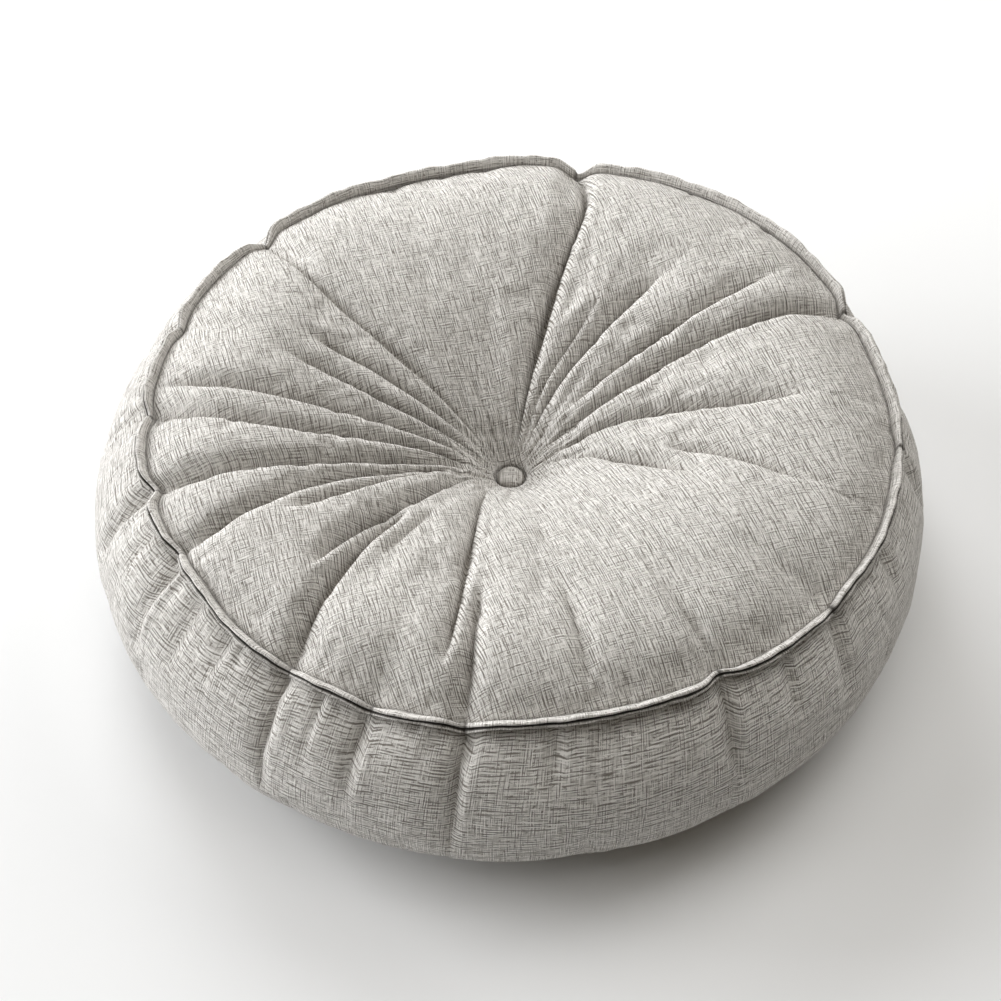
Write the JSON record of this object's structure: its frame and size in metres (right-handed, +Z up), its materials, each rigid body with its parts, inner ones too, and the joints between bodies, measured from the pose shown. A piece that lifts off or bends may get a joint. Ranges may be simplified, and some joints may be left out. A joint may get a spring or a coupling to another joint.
{
  "type": "round tufted floor cushion",
  "caption": "Round filled floor cushion with a button-tufted, pleated top panel, a bulging side band, a raised flange along the top seam and a plain flat underside.",
  "frame": {"origin": "centre of the cushion's footprint, on the surface it lies on", "axes": "+Z up through the button in the middle of the top panel, +Y towards the far side in the picture, +X to the right"},
  "size_m": [0.56, 0.56, 0.1433],
  "materials": {
    "cushion_cloth": "heathered linen-look plain weave",
    "flange_cloth": "heathered linen-look plain weave",
    "button_cloth": "heathered linen-look plain weave"
  },
  "bodies": {
    "root": {"cushion_body": "cushion_cloth", "seam_flange": "flange_cloth", "tuft_button": "button_cloth"}
  },
  "joints": []
}
